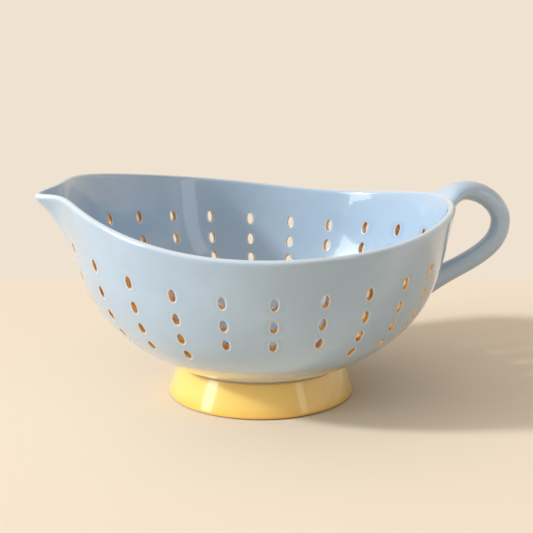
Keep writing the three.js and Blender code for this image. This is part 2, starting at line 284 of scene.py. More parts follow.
def node_math(operation, *terms):
    tree = next(term.tree for term in terms if isinstance(term, Field))
    node = tree.nodes.new("ShaderNodeMath")
    node.operation = operation
    for socket, term in zip(node.inputs, terms):
        if isinstance(term, Field):
            tree.links.new(term.socket, socket)
        else:
            socket.default_value = term
    return Field(tree, node.outputs[0])


def either(operation, plain):
    """A function that makes a node for fields and works a plain number out at once"""
    def apply(*terms):
        if any(isinstance(term, Field) for term in terms):
            return node_math(operation, *terms)
        return plain(*terms)
    return apply


cos = either("COSINE", np.cos)
sin = either("SINE", np.sin)
exp = either("EXPONENT", np.exp)
square_root = either("SQRT", np.sqrt)
magnitude = either("ABSOLUTE", np.abs)
smaller = either("MINIMUM", np.minimum)
larger = either("MAXIMUM", np.maximum)


# Skin of the bowl, about the foot's axis

SLOPE_STEP = 1e-3


def plan_radius(bowl, angle):
    end_mean = (bowl.handle_end_radius + bowl.spout_end_radius) / 2
    oval = (end_mean - bowl.side_radius) / 2
    middle = end_mean - oval - bowl.diagonal_ease
    shift = (bowl.handle_end_radius - bowl.spout_end_radius) / 2
    return middle + shift * cos(angle) + oval * cos(2 * angle) + bowl.diagonal_ease * cos(4 * angle)


def spout_pull(bowl, angle):
    """One at the beak's tip, fading to nothing round the rim"""
    arc = magnitude(math.pi - magnitude(angle)) * bowl.spout_end_radius
    tip = bowl.spout_tip_round
    return exp((tip - square_root(arc * arc + tip * tip)) / bowl.spout_half_width)


def rim_height(bowl, angle):
    return (bowl.rim_side_height
            - bowl.rim_spout_tilt * cos(angle)
            + bowl.rim_end_rise * cos(angle - bowl.rim_twist) ** 2
            - bowl.rim_quarter_dip * sin(2 * angle) ** 2
            - bowl.spout_lip_drop * spout_pull(bowl, angle))


def skin_radius(bowl, angle, up):
    """Radius of the outer skin, where up is 0 at the seat and 1 at the rim"""
    rise = rim_height(bowl, angle) - bowl.seat_height
    swell = (1 - bowl.wall_flare) * (1 - (1 - up) ** bowl.belly_roundness) + bowl.wall_flare * up
    pull = larger(1 - (1 - up) * rise / bowl.spout_depth, 0.0) ** bowl.spout_sweep
    return (bowl.seat_radius + (plan_radius(bowl, angle) - bowl.seat_radius) * swell
            + bowl.spout_reach * spout_pull(bowl, angle) * pull)


def skin_slope(bowl, angle, up):
    """Change of the skin's radius and height with up"""
    wider = skin_radius(bowl, angle, up + SLOPE_STEP) - skin_radius(bowl, angle, up - SLOPE_STEP)
    return wider / (2 * SLOPE_STEP), rim_height(bowl, angle) - bowl.seat_height


def skin_normal(bowl, angle, up):
    """Outward normal of the skin within its upright section"""
    wider, higher = skin_slope(bowl, angle, up)
    steep = square_root(wider * wider + higher * higher)
    return higher / steep, -wider / steep


def lip_start(bowl, angle):
    return 1 - bowl.wall / 2 / (rim_height(bowl, angle) - bowl.seat_height)


def row_height(settings, row):
    """Share of the rise at which a row of holes lies"""
    bowl, holes = settings.bowl, settings.holes
    mean_rise = bowl.rim_side_height + bowl.rim_end_rise / 2 - bowl.seat_height
    return 1 - (holes.top_row_drop + row * (holes.row_pitch - row * holes.row_crowding)) / mean_rise


# One upright strip of the bowl, laid flat: X across the column, Y up the wall, Z from outside to inside

BASE_LINES = (-1.0, -0.85, -0.65, -0.45, -0.3, -0.22, -0.14, -0.07)
FILLET_SHARE = 0.3
LOWER_STEPS = 5
UPPER_LINES = (0.22, 0.44, 0.64, 0.8, 0.92)
LIP_STEPS = 10
CELL_STEPS_UP = 8
COLUMN_STEPS = 10
SPOUT_STEPS = 20
SPOUT_CROWDING = 2.2
RING_SHARES = (0.4, 0.7, 0.88)
EDGE_STEPS = 4
FIRST_CORNER = math.radians(-135)
EDGE_FADE = 40
# Paleness of the hole rims, partly thin glaze and partly a painted highlight
HOLE_EDGE_HIGHLIGHT = 0.8
HOLE_LAYERS = ("hole_share", "hole_cosine", "hole_sine", "hole_spread", "hole_height")
NO_HOLE = (0.0,) * len(HOLE_LAYERS)
KEY_DIGITS = 6
FULL_STRIP, SHORT_STRIP, FIRST_STRIP, LAST_STRIP = range(4)
MERGE_DISTANCE = 1e-5
SHARP_ANGLE = math.radians(50)


class Strip:
    """The vertices and faces of a strip, with what each vertex needs to find its place on the bowl"""

    def __init__(self):
        self.index = {}
        self.faces = []

    def vertex(self, across, up, depth, hole=NO_HOLE):
        """The number of a vertex; hole holds its values of the hole layers"""
        key = tuple(round(value, KEY_DIGITS) for value in (across, up, depth, *hole))
        return self.index.setdefault(key, len(self.index))

    def quads(self, lower, upper, inside):
        """Faces between two lines of vertices, turned to the outside or the inside of the bowl"""
        for a, b, c, d in zip(lower, lower[1:], upper[1:], upper):
            self.faces.append((d, c, b, a) if inside else (a, b, c, d))

    def sheet(self, across_lines, up_lines):
        """A plain stretch of both the outer and the inner side"""
        for depth in (0.0, 1.0):
            rows = [[self.vertex(x, y, depth) for x in across_lines] for y in up_lines]
            for lower, upper in zip(rows, rows[1:]):
                self.quads(lower, upper, depth > 0)

    def perforated_cell(self, across_lines, up_lines, height, round_share):
        """A stretch of the wall with one hole, in rings from its border to the hole and through the wall"""
        border = [(x, up_lines[0]) for x in across_lines[:-1]]
        border += [(across_lines[-1], y) for y in up_lines[:-1]]
        border += [(x, up_lines[-1]) for x in across_lines[:0:-1]]
        border += [(across_lines[0], y) for y in up_lines[:0:-1]]
        sides = [len(across_lines) - 1, len(up_lines) - 1] * 2
        angles = [FIRST_CORNER + math.pi / 2 * (side + i / steps)
                  for side, steps in enumerate(sides) for i in range(steps)]

        def ring(share, spread, depth):
            vertices = []
            for (x, y), a in zip(border, angles):
                hole = (share, math.cos(a), math.sin(a), spread, height) if share > 0 else NO_HOLE
                vertices.append(self.vertex(x, y, depth, hole))
            return vertices

        outer = [ring(share, 1.0, 0.0) for share in (0.0, *RING_SHARES)]
        bend = [math.pi / 2 * i / EDGE_STEPS for i in range(EDGE_STEPS + 1)]
        edge = [(1 - math.sin(a), round_share * (1 - math.cos(a))) for a in bend]
        rings = outer + [ring(1.0, spread, depth) for spread, depth in edge]
        rings += [ring(1.0, spread, 1 - depth) for spread, depth in reversed(edge)]
        rings += [ring(share, 1.0, 1.0) for share in (*reversed(RING_SHARES), 0.0)]
        for near, far in zip(rings, rings[1:]):
            self.quads(near + near[:1], far + far[:1], False)

    def lip(self, across_lines):
        """The round lip from the outer to the inner side"""
        bend = [math.pi * i / LIP_STEPS for i in range(LIP_STEPS + 1)]
        rows = [[self.vertex(x, 1 + math.sin(a) / 2, (1 - math.cos(a)) / 2) for x in across_lines]
                for a in bend]
        for lower, upper in zip(rows, rows[1:]):
            self.quads(lower, upper, False)

    def to_object(self, name, collection):
        across, up, depth, *holes = np.array(list(self.index)).T
        mesh = bpy.data.meshes.new(name)
        mesh.from_pydata(np.stack([across, up, depth], axis=-1).tolist(), [], self.faces)
        layers = dict(zip(HOLE_LAYERS, holes))
        share = layers["hole_share"]
        # The holes' bare throats, whose ochre also paints warm reflected light
        layers["glaze_bare"] = share * (1 - layers["hole_spread"])
        # Pale edges on the lip and round the holes: thin glaze, and a painted highlight
        lip_break_highlight = np.clip(2 * (up - 1), 0, 1)
        layers["glaze_edge"] = np.maximum(HOLE_EDGE_HIGHLIGHT * share ** EDGE_FADE, lip_break_highlight)
        for attribute, values in layers.items():
            layer = mesh.attributes.new(attribute, "FLOAT", "POINT")
            layer.data.foreach_set("value", values.astype(np.float32))
        strip = bpy.data.objects.new(name, mesh)
        collection.objects.link(strip)


def cell_edge(settings, row):
    """Height of the upper edge of a row's cell, as a share of the rise"""
    return (row_height(settings, row) + row_height(settings, row - 1)) / 2


def wall_strip(settings, name, across_lines, hole_rows, collection):
    """A strip from the middle of the floor to the lip, with its holes from the top row down"""
    holes = settings.holes
    round_share = holes.edge_round / settings.bowl.wall
    strip = Strip()
    top, bottom = cell_edge(settings, 0), cell_edge(settings, holes.rows)
    strip.sheet(across_lines, (*BASE_LINES, 0.0))
    strip.sheet(across_lines, [bottom * i / LOWER_STEPS for i in range(LOWER_STEPS + 1)])
    for row in range(holes.rows):
        low, high = cell_edge(settings, row + 1), cell_edge(settings, row)
        up_lines = [low + (high - low) * i / CELL_STEPS_UP for i in range(CELL_STEPS_UP + 1)]
        if row < hole_rows:
            strip.perforated_cell(across_lines, up_lines, row_height(settings, row), round_share)
        else:
            strip.sheet(across_lines, up_lines)
    strip.sheet(across_lines, [top + (1 - top) * share for share in (0.0, *UPPER_LINES, 1.0)])
    strip.lip(across_lines)
    strip.to_object(name, collection)


def wall_strips(settings):
    """The kinds of strip, named by the numbers with which the node tree picks them"""
    collection = bpy.data.collections.new("Wall strips")
    bpy.context.scene.collection.children.link(collection)
    even = [i / COLUMN_STEPS - 0.5 for i in range(COLUMN_STEPS + 1)]
    crowded = [(i / SPOUT_STEPS) ** SPOUT_CROWDING - 0.5 for i in range(SPOUT_STEPS + 1)]
    rows = settings.holes.rows
    kinds = {FULL_STRIP: (even, rows), SHORT_STRIP: (even, rows - 1),
             FIRST_STRIP: (crowded, rows), LAST_STRIP: ([-x for x in reversed(crowded)], rows)}
    for number, (across_lines, hole_rows) in kinds.items():
        wall_strip(settings, f"Strip {number}", across_lines, hole_rows, collection)
    return collection


# Node tree that wraps the strips round the bowl

class TreeInputs:
    """The settings of a property group as named inputs of a node tree, read as fields"""

    def __init__(self, tree, group_input, settings):
        for key in type(settings).__annotations__:
            kind = "NodeSocketInt" if isinstance(getattr(settings, key), int) else "NodeSocketFloat"
            label = settings.bl_rna.properties[key].name
            socket = tree.interface.new_socket(label, in_out="INPUT", socket_type=kind)
            socket.default_value = getattr(settings, key)
            setattr(self, key, Field(tree, group_input.outputs[socket.identifier]))
            setattr(self, key + "_identifier", socket.identifier)

    def set_on(self, modifier, settings):
        for key in type(settings).__annotations__:
            modifier[getattr(self, key + "_identifier")] = getattr(settings, key)


def add_node(tree, kind, links=None, **values):
    """A node with its properties set and its inputs linked or filled in by name"""
    node = tree.nodes.new(kind)
    for key, value in values.items():
        setattr(node, key, value)
    for name, value in (links or {}).items():
        socket = node.inputs[name]
        if isinstance(value, Field):
            tree.links.new(value.socket, socket)
        elif isinstance(value, bpy.types.NodeSocket):
            tree.links.new(value, socket)
        else:
            socket.default_value = value
    return node


def named_field(tree, name):
    node = add_node(tree, "GeometryNodeInputNamedAttribute", {"Name": name}, data_type="FLOAT")
    return Field(tree, node.outputs["Attribute"])


def combine(tree, x, y, z):
    return add_node(tree, "ShaderNodeCombineXYZ", {"X": x, "Y": y, "Z": z}).outputs[0]


def separate_position(tree):
    position = add_node(tree, "GeometryNodeInputPosition")
    split = add_node(tree, "ShaderNodeSeparateXYZ", {0: position.outputs[0]})
    return [Field(tree, socket) for socket in split.outputs]


def strip_row(tree, holes, strips):
    """Strips side by side, one for each column, each with its column's number stored on it"""
    columns = holes.columns
    start = combine(tree, 0.5 - columns / 2, 0.0, 0.0)
    line = add_node(tree, "GeometryNodeMeshLine", {
        "Count": columns, "Start Location": start, "Offset": (1.0, 0.0, 0.0)})
    across = separate_position(tree)[0]
    stored = add_node(tree, "GeometryNodeStoreNamedAttribute", {
        "Geometry": line.outputs[0], "Name": "column", "Value": across}, data_type="FLOAT", domain="POINT")
    angle = across * (2 * math.pi) / columns
    is_short = node_math("LESS_THAN", magnitude(magnitude(angle) - holes.short_angle), holes.short_spread)
    is_first = node_math("LESS_THAN", across, 1 - columns / 2)
    is_last = node_math("GREATER_THAN", across, columns / 2 - 1)
    shelf = add_node(tree, "GeometryNodeCollectionInfo", {
        "Collection": strips, "Separate Children": True, "Reset Children": True})
    instances = add_node(tree, "GeometryNodeInstanceOnPoints", {
        "Points": stored.outputs[0], "Instance": shelf.outputs[0], "Pick Instance": True,
        "Instance Index": SHORT_STRIP * is_short + FIRST_STRIP * is_first + LAST_STRIP * is_last})
    return add_node(tree, "GeometryNodeRealizeInstances", {0: instances.outputs[0]}).outputs[0]


def wrapped_position(tree, bowl, holes, top, bottom):
    """Place on the bowl of each point of the flat strips"""
    across, flat_up, depth = separate_position(tree)
    column = named_field(tree, "column")
    share = named_field(tree, "hole_share")
    spread = named_field(tree, "hole_spread")
    height = named_field(tree, "hole_height")
    step = 2 * math.pi / holes.columns

    # The hole's edge, in true size round the middle of its cell
    middle = column * step
    wider, higher = skin_slope(bowl, middle, height)
    half_angle = (holes.width / 2 + spread * holes.edge_round) / skin_radius(bowl, middle, height)
    half_up = (holes.tall / 2 + spread * holes.edge_round) / square_root(wider * wider + higher * higher)
    edge_angle = middle + half_angle * named_field(tree, "hole_cosine")
    edge_up = height + half_up * named_field(tree, "hole_sine")
    angle = across * step * (1 - share) + edge_angle * share
    level = flat_up * (1 - share) + edge_up * share

    # The wall, with its upper stretch fitted to the lip and its inner foot to the floor's fillet
    on_wall = smaller(larger(level, 0.0), 1.0)
    squeeze = 1 - (lip_start(bowl, angle) - top) / (1 - top)
    fillet_up = bowl.floor_fillet / (rim_height(bowl, angle) - bowl.seat_height)
    up = (on_wall - larger(on_wall - top, 0.0) * squeeze
          + larger(bottom - on_wall, 0.0) * depth * fillet_up / bottom)
    out, tip = skin_normal(bowl, angle, up)
    crest = larger(level - 1, 0.0)
    radius = skin_radius(bowl, angle, up) - bowl.wall * (depth * out + crest * tip)
    rise = rim_height(bowl, angle) - bowl.seat_height
    z = bowl.seat_height + rise * up - bowl.wall * (depth * tip - crest * out)

    # The base: a flat underside, and inside a fillet that runs into the flat floor
    inward = larger(-level, 0.0)
    floor_height = bowl.seat_height + bowl.floor
    run = (floor_height - z) * tip / out
    fillet = smaller(inward / FILLET_SHARE, 1.0)
    flat = larger((inward - FILLET_SHARE) / (1 - FILLET_SHARE), 0.0)
    inner_radius = (radius - 2 * run * fillet) * (1 - flat)
    outer_radius = radius * (1 - inward)
    sink = (floor_height - z) * (1 - (1 - fillet) ** 2)
    radius = outer_radius + depth * (inner_radius - outer_radius)
    return combine(tree, AXIS_X + radius * cos(angle), radius * sin(angle), z + depth * sink)


PUNCH_SIDES = 32
PUNCH_LENGTH = 3


def floor_cutters(tree, bowl, holes):
    """Round punches for the floor: one in the middle and a ring of them"""
    centre = combine(tree, AXIS_X, 0.0, bowl.seat_height + bowl.floor / 2)
    circle = add_node(tree, "GeometryNodeMeshCircle", {
        "Vertices": holes.floor_count, "Radius": holes.floor_circle})
    middle = add_node(tree, "GeometryNodeMeshLine", {"Count": 1})
    points = add_node(tree, "GeometryNodeJoinGeometry")
    tree.links.new(circle.outputs[0], points.inputs[0])
    tree.links.new(middle.outputs[0], points.inputs[0])
    placed = add_node(tree, "GeometryNodeTransform", {"Geometry": points.outputs[0], "Translation": centre})
    punch = add_node(tree, "GeometryNodeMeshCylinder", {
        "Vertices": PUNCH_SIDES, "Radius": holes.floor_hole / 2, "Depth": PUNCH_LENGTH * bowl.floor})
    punches = add_node(tree, "GeometryNodeInstanceOnPoints", {
        "Points": placed.outputs[0], "Instance": punch.outputs["Mesh"]})
    return add_node(tree, "GeometryNodeRealizeInstances", {0: punches.outputs[0]}).outputs[0]


def bowl_tree(settings, strips, glaze):
    """The whole bowl as a node tree, and the named inputs of its two groups of sizes"""
    tree = bpy.data.node_groups.new("Perforated bowl", "GeometryNodeTree")
    tree.interface.new_socket("Geometry", in_out="OUTPUT", socket_type="NodeSocketGeometry")
    group_input = tree.nodes.new("NodeGroupInput")
    bowl = TreeInputs(tree, group_input, settings.bowl)
    holes = TreeInputs(tree, group_input, settings.holes)
    top, bottom = cell_edge(settings, 0), cell_edge(settings, settings.holes.rows)
    flat = strip_row(tree, holes, strips)
    wrapped = add_node(tree, "GeometryNodeSetPosition", {
        "Geometry": flat, "Position": wrapped_position(tree, bowl, holes, top, bottom)})
    merged = add_node(tree, "GeometryNodeMergeByDistance", {
        "Geometry": wrapped.outputs[0], "Distance": MERGE_DISTANCE})
    punches = floor_cutters(tree, bowl, holes)
    drained = add_node(tree, "GeometryNodeMeshBoolean", {
        "Mesh 1": merged.outputs[0], "Mesh 2": punches}, operation="DIFFERENCE", solver="MANIFOLD")
    smooth = add_node(tree, "GeometryNodeSetShadeSmooth", {
        "Geometry": drained.outputs[0], "Shade Smooth": True}, domain="FACE")
    edge = add_node(tree, "GeometryNodeInputMeshEdgeAngle")
    is_sharp = node_math("GREATER_THAN", Field(tree, edge.outputs[0]), SHARP_ANGLE)
    creased = add_node(tree, "GeometryNodeSetShadeSmooth", {
        "Geometry": smooth.outputs[0], "Selection": is_sharp, "Shade Smooth": False}, domain="EDGE")
    realized = add_node(tree, "GeometryNodeRealizeInstances", {0: creased.outputs[0]})
    glazed = add_node(tree, "GeometryNodeSetMaterial", {"Geometry": realized.outputs[0], "Material": glaze})
    group_output = tree.nodes.new("NodeGroupOutput")
    tree.links.new(glazed.outputs[0], group_output.inputs[0])
    return tree, bowl, holes


def evaluated_mesh(piece, glaze):
    """The piece's mesh with its modifiers applied, and its glaze as the only material"""
    mesh = bpy.data.meshes.new_from_object(piece.evaluated_get(bpy.context.evaluated_depsgraph_get()))
    mesh.materials.clear()
    mesh.materials.append(glaze)
    return mesh


def new_piece(name, mesh):
    piece = bpy.data.objects.new(name, mesh)
    bpy.context.scene.collection.objects.link(piece)
    return piece


def dress(piece, slot, *nodes):
    """Rides the piece on the colander in place of its nodes"""
    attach(piece, BODY)
    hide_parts(*nodes)


# Handle

HANDLE_STEPS = 84
HANDLE_SIDES = 40
PATH_STEPS = 400
EASE_STEPS = 7
EASE_PULL = 0.6
SEARCH_STEPS = 60
SEARCH_HALVINGS = 12
LIP_SAMPLES = 24
WALL_SAMPLES = 160
BEAD_STEPS = 5
BEAD_RING = -3
BEAD_LEAST = 0.1
ROOT_DEPTH = 0.0012
ROOT_LEAD = 0.02


def bezier(points, t):
    a, b, c, d = (np.array(p) for p in points)
    t = np.asarray(t)[..., None]
    return a * (1 - t) ** 3 + 3 * b * t * (1 - t) ** 2 + 3 * c * t ** 2 * (1 - t) + d * t ** 3


def root_share(distance, reach):
    """One up to the start of a root's spread, easing to nothing over its reach"""
    return np.clip(1 - distance / reach, 0, 1) ** 2


class HandleForm:
    """The handle as an oval swept along its middle line in the plane through spout and handle"""

    def __init__(self, bowl, sizes):
        self.sizes = sizes
        rim = rim_height(bowl, 0.0)
        edge = bowl.handle_end_radius
        up = 1 - sizes.lower_drop / (rim - bowl.seat_height)
        lower_x = skin_radius(bowl, 0.0, up)
        lower_z = rim - sizes.lower_drop
        out_x = edge + sizes.reach
        mid_z = rim - sizes.mid_drop
        sunk_z = sizes.lower_sunk * sizes.lead_up / sizes.lead_out
        upper = ((edge - sizes.upper_sunk, rim - sizes.upper_drop),
                 (edge + sizes.crown_out, rim + sizes.crown),
                 (out_x, mid_z + sizes.shoulder),
                 (out_x, mid_z))
        lower = ((out_x, mid_z),
                 (out_x, mid_z - sizes.hip),
                 (lower_x + sizes.lead_out, lower_z + sizes.lead_up),
                 (lower_x - sizes.lower_sunk, lower_z - sunk_z))
        t = np.linspace(0, 1, PATH_STEPS)
        curve = np.vstack([bezier(upper, t), bezier(lower, t)[1:]])
        steps = np.linalg.norm(np.diff(curve, axis=0), axis=1)
        self.total = steps.sum()
        first = curve[0] + (curve[0] - curve[1]) / steps[0] * ROOT_LEAD
        last = curve[-1] + (curve[-1] - curve[-2]) / steps[-1] * ROOT_LEAD
        self.path = np.vstack([first, curve, last])
        self.way = np.concatenate([[-ROOT_LEAD], [0], np.cumsum(steps), [self.total + ROOT_LEAD]])
        self.tangent = np.gradient(self.path, self.way, axis=0)

    def half_size(self, along, middle, upper_root, lower_root):
        """Half of a size that has one value in the middle and eases to its own at each root"""
        sizes = self.sizes
        upper = root_share(along - sizes.upper_start, sizes.upper_length)
        lower = root_share(self.total - along - sizes.lower_start, sizes.lower_length)
        return (middle + (upper_root - middle) * upper + (lower_root - middle) * lower) / 2

    def points(self, along, turn_angle):
        """Points of the surface at distances along the handle and angles round it"""
        sizes = self.sizes
        x, z = (np.interp(along, self.way, self.path[:, i]) for i in (0, 1))
        tx, tz = (np.interp(along, self.way, self.tangent[:, i]) for i in (0, 1))
        thick = self.half_size(along, sizes.thickness, sizes.upper_thickness, sizes.lower_thickness)
        wide = self.half_size(along, sizes.width, sizes.upper_width, sizes.lower_width)
        lift = thick * np.sin(turn_angle)
        return np.stack([x - tz * lift, wide * np.cos(turn_angle), z + tx * lift], axis=-1)


def handle_turns():
    """The angles of the lines round the handle"""
    return 2 * np.pi * np.arange(HANDLE_SIDES) / HANDLE_SIDES


def outer_section(bowl, angle):
    """Radius and height of points up the bowl's outside at one angle, and over the lip to its crest"""
    start = lip_start(bowl, angle)
    up = np.linspace(0, start, WALL_SAMPLES)
    rise = rim_height(bowl, angle) - bowl.seat_height
    wall = np.stack([skin_radius(bowl, angle, up), bowl.seat_height + rise * up], axis=-1)
    out, tip = skin_normal(bowl, angle, start)
    lean = math.atan2(tip, out)
    bend = np.linspace(lean, math.pi / 2, LIP_SAMPLES)
    centre = wall[-1] - bowl.wall / 2 * np.array([out, tip])
    lip = centre + bowl.wall / 2 * np.stack([np.cos(bend), np.sin(bend)], axis=-1)
    return np.vstack([wall, lip[1:]])


def landing(bowl, point):
    """The point of the bowl's outside nearest to a given one, at its angle, and the way out there"""
    angle = math.atan2(point[1], point[0])
    section = outer_section(bowl, angle)
    here = np.array([math.hypot(point[0], point[1]), point[2]])
    steps = np.diff(section, axis=0)
    share = ((here - section[:-1]) * steps).sum(axis=1) / (steps ** 2).sum(axis=1)
    spots = section[:-1] + np.clip(share, 0, 1)[:, None] * steps
    best = np.argmin(np.linalg.norm(spots - here, axis=1))
    out = np.array([steps[best, 1], -steps[best, 0]]) / np.linalg.norm(steps[best])
    return [np.array([r * math.cos(angle), r * math.sin(angle), z]) for r, z in (spots[best], out)]


def is_outside(bowl, point):
    """Whether a point lies outside the bowl, or outside an upright wall on the rim's crest above it"""
    angle = math.atan2(point[1], point[0])
    section = outer_section(bowl, angle)
    edge = np.interp(point[2], section[:, 1], section[:, 0])
    return math.hypot(point[0], point[1]) > edge


def root_lines(bowl, form, ease, from_upper):
    """Where each line along the handle leaves the sweep and lands on the bowl, and the way out there"""
    starts, lands, outs = [], [], []
    search = np.linspace(form.total / 2, -ROOT_LEAD if from_upper else form.total + ROOT_LEAD, SEARCH_STEPS)
    for turn_angle in handle_turns():
        line = form.points(search, turn_angle)
        hit = next(i for i, point in enumerate(line) if not is_outside(bowl, point))
        outside, inside = search[hit - 1], search[hit]
        for _ in range(SEARCH_HALVINGS):
            middle = (outside + inside) / 2
            if is_outside(bowl, form.points(middle, turn_angle)):
                outside = middle
            else:
                inside = middle
        land, out = landing(bowl, form.points(inside, turn_angle))
        starts.append(inside + (ease if from_upper else -ease))
        lands.append(land)
        outs.append(out)
    return np.array(starts), np.array(lands), np.array(outs)


def root_rings(form, starts, lands, ease):
    """Rings that bend from the sweep to the bowl"""
    begin = form.points(starts, handle_turns())
    towards = -1 if starts.mean() < form.total / 2 else 1
    ahead = form.points(starts + towards * ease * EASE_PULL, handle_turns())
    rings = []
    for i in range(1, EASE_STEPS + 1):
        t = i / EASE_STEPS
        rings.append(begin * (1 - t) ** 2 + 2 * ahead * t * (1 - t) + lands * t ** 2)
    return rings


def ring_mesh(name, rings, material, closed=False):
    """A mesh through rings of points: capped at both ends, or closed on itself"""
    sides = len(rings[0])
    points = np.vstack(rings)
    faces = []
    last = len(rings) if closed else len(rings) - 1
    for i in range(last):
        a, b = i * sides, (i + 1) % len(rings) * sides
        for j in range(sides):
            k = (j + 1) % sides
            faces.append((a + j, a + k, b + k, b + j))
    if not closed:
        points = np.vstack([points, rings[0].mean(axis=0), rings[-1].mean(axis=0)])
        first, end = len(points) - 2, len(points) - 1
        top = (len(rings) - 1) * sides
        for j in range(sides):
            k = (j + 1) % sides
            faces.append((first, k, j))
            faces.append((end, top + j, top + k))
    mesh = bpy.data.meshes.new(name)
    mesh.from_pydata(points.tolist(), [], faces)
    mesh.shade_smooth()
    mesh.set_sharp_from_angle(angle=SHARP_ANGLE)
    mesh.materials.append(material)
    return mesh


def slip_bead(bowl, rings, lands, outs, width):
    """A fillet of slip between a root and the bowl, fading where the root runs over the rim"""
    away = lands - lands.mean(axis=0)
    away /= np.linalg.norm(away, axis=1)[:, None]
    on_bowl = np.array([landing(bowl, point)[0] for point in lands + away * width])
    room = np.linalg.norm(on_bowl - lands, axis=1) / width
    on_handle = lands + (rings[BEAD_RING] - lands) * np.clip(room, BEAD_LEAST, 1)[:, None]
    sections = []
    for i in range(BEAD_STEPS + 1):
        t = i / BEAD_STEPS
        sections.append(on_handle * (1 - t) ** 2 + 2 * lands * t * (1 - t) + on_bowl * t ** 2)
    sections.append(lands - outs * ROOT_DEPTH)
    return sections


# Foot

ARC_STEPS = 6


def lathe_mesh(name, profile, sides, material):
    """A closed section turned about the foot's axis"""
    profile = np.array(profile)
    rings = []
    for i in range(sides):
        angle = 2 * math.pi * i / sides
        rings.append(np.stack([AXIS_X + profile[:, 0] * math.cos(angle),
                               profile[:, 0] * math.sin(angle), profile[:, 1]], axis=-1))
    return ring_mesh(name, rings, material, closed=True)


def arc(centre_x, centre_z, radius, start, end):
    """Points of an arc between two angles in degrees"""
    angles = np.radians(np.linspace(start, end, ARC_STEPS + 1))
    return [(centre_x + radius * math.cos(a), centre_z + radius * math.sin(a)) for a in angles]


def foot_profile(bowl, foot):
    """Section of the foot, from the inner bottom edge round the outside to the top and down the inside"""
    top = bowl.seat_height - foot.slip
    top_radius = bowl.seat_radius - foot.set_back
    base = top_radius + foot.flare
    inner_base = base - foot.wall
    inner_top = top_radius - foot.wall
    profile = arc(inner_base + foot.inner_edge, foot.inner_edge, foot.inner_edge, 180, 270)
    lean = math.degrees(math.atan2(foot.flare, top))
    profile += arc(base - foot.base_edge, foot.base_edge, foot.base_edge, -90, lean)
    profile += arc(top_radius - foot.top_edge, top - foot.top_edge, foot.top_edge, lean, 90)
    profile.append((inner_top, top))
    return profile


def foot_slip_profile(bowl, foot):
    """Section of the slip between foot and bowl, with a soft bead outside"""
    top_radius = bowl.seat_radius - foot.set_back
    low = bowl.seat_height - foot.slip
    inner = top_radius - foot.wall
    bead = arc(top_radius, low + foot.slip / 2, foot.slip / 2, -90, 90)
    return [(inner, low), *bead, (inner, bowl.seat_height)]


# Finishes

HOLE_POOL = 0.8
# How far edges turn pale: thin glaze, and a painted highlight
PALE_EDGE_HIGHLIGHT = 0.6
CLAY_ROUGHNESS = 0.35
GLOSS_CHANGE = 0.05
FOOT_POOL = 0.7
FOOT_CLOUDS = 0.45
POOL_HEIGHTS = (0.001, 0.009)
POOL_WANDER = 0.004
# A bare ring at the foot's bottom edge, tall enough to paint the contact shadow under the foot
BARE_RING_SHADOW_HEIGHTS = (0.0005, 0.0011)
BARE_RING_SHADOW_WANDER = 0.0004
SLIP_CLOUDS = 0.4


def new_finish(name):
    """A material with the sockets of its shader"""
    material = bpy.data.materials.new(name)
    material.use_nodes = True
    return material, material.node_tree.nodes["Principled BSDF"].inputs


def noise(tree, scale, detail):
    """A cloudy field from 0 to 1, with its grain set in the object's own coordinates"""
    where = add_node(tree, "ShaderNodeTexCoord")
    node = add_node(tree, "ShaderNodeTexNoise", {
        "Vector": where.outputs["Object"], "Scale": scale, "Detail": detail})
    return Field(tree, node.outputs["Fac"])


def ramp_range(tree, value, low, high):
    """A field brought to 0 at low and 1 at high, smoothly between"""
    node = add_node(tree, "ShaderNodeMapRange", {
        "Value": value, "From Min": low, "From Max": high}, interpolation_type="SMOOTHSTEP")
    return Field(tree, node.outputs["Result"])


def mix_colour(tree, share, first, second):
    """A colour between two, each a plain colour or a socket"""
    node = tree.nodes.new("ShaderNodeMix")
    node.data_type = "RGBA"
    tree.links.new(share.socket, node.inputs["Factor"])
    for socket, value in zip([s for s in node.inputs if s.type == "RGBA"], (first, second)):
        if isinstance(value, bpy.types.NodeSocket):
            tree.links.new(value, socket)
        else:
            socket.default_value = (*value, 1.0)
    return next(s for s in node.outputs if s.type == "RGBA")


def glass_surface(tree, sockets, colours, bare, scale, depth):
    """The clear, softly uneven glass surface of a fired glaze, duller where the clay is bare"""
    gloss = colours.roughness + GLOSS_CHANGE * noise(tree, scale=60.0, detail=3.0) + CLAY_ROUGHNESS * bare
    tree.links.new(gloss.socket, sockets["Roughness"])
    sockets["Coat Weight"].default_value = colours.coat
    sockets["Coat Roughness"].default_value = colours.coat_roughness
    bump = add_node(tree, "ShaderNodeBump", {
        "Height": noise(tree, scale, detail=2.0), "Distance": depth, "Strength": 1.0})
    for name in ("Normal", "Coat Normal"):
        tree.links.new(bump.outputs["Normal"], sockets[name])


def object_height(tree):
    where = add_node(tree, "ShaderNodeTexCoord")
    split = add_node(tree, "ShaderNodeSeparateXYZ", {0: where.outputs["Object"]})
    return Field(tree, split.outputs["Z"])


def shader_field(tree, name):
    node = add_node(tree, "ShaderNodeAttribute", attribute_name=name)
    return Field(tree, node.outputs["Fac"])


